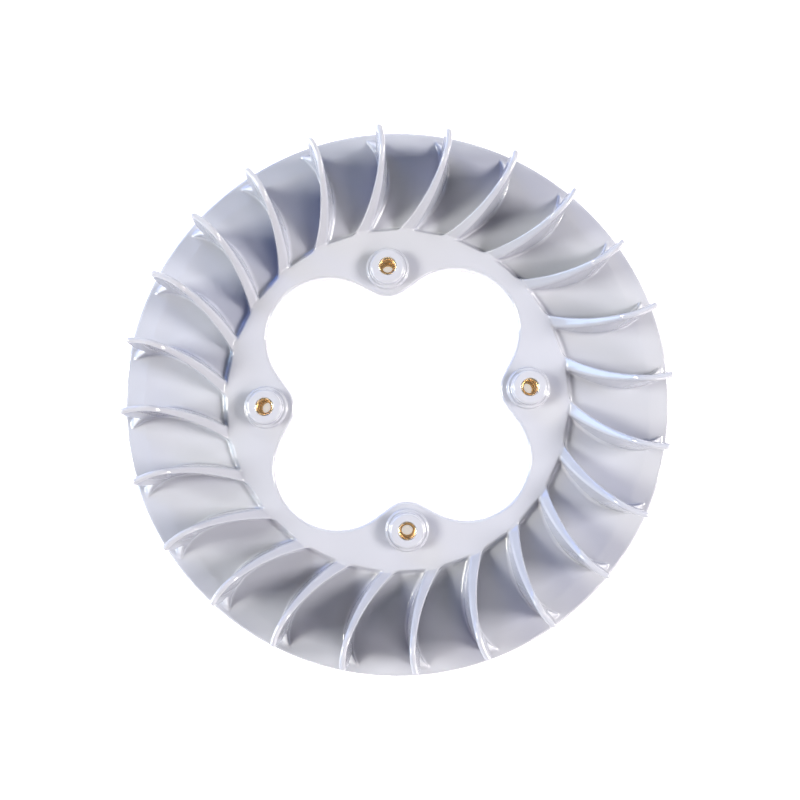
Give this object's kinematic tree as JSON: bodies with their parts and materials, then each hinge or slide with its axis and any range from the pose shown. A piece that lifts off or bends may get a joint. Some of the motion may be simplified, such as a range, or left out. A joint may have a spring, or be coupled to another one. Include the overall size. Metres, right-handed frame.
{
  "type": "flywheel cooling fan",
  "caption": "Round moulded fan disc that bolts to a small engine's flywheel, with curved vanes on one face, a clover-shaped centre opening and brass bolt inserts.",
  "frame": {"origin": "centre of the mounting face that lies on the flywheel", "axes": "+Z along the crankshaft axis, away from the flywheel, to the vane side; the bolt holes lie on the X and Y axes"},
  "size_m": [0.245, 0.245, 0.034],
  "materials": {
    "moulding": "glossy",
    "brass": "turned"
  },
  "bodies": {
    "root": {"fan_disc": "moulding", "vane_01": "moulding", "vane_02": "moulding", "vane_03": "moulding", "vane_04": "moulding", "vane_05": "moulding", "vane_06": "moulding", "vane_07": "moulding", "vane_08": "moulding", "vane_09": "moulding", "vane_10": "moulding", "vane_11": "moulding", "vane_12": "moulding", "vane_13": "moulding", "vane_14": "moulding", "vane_15": "moulding", "vane_16": "moulding", "vane_17": "moulding", "vane_18": "moulding", "vane_19": "moulding", "vane_20": "moulding", "vane_21": "moulding", "vane_22": "moulding", "vane_23": "moulding", "vane_24": "moulding", "bolt_insert_1": "brass", "bolt_insert_2": "brass", "bolt_insert_3": "brass", "bolt_insert_4": "brass"}
  },
  "joints": []
}
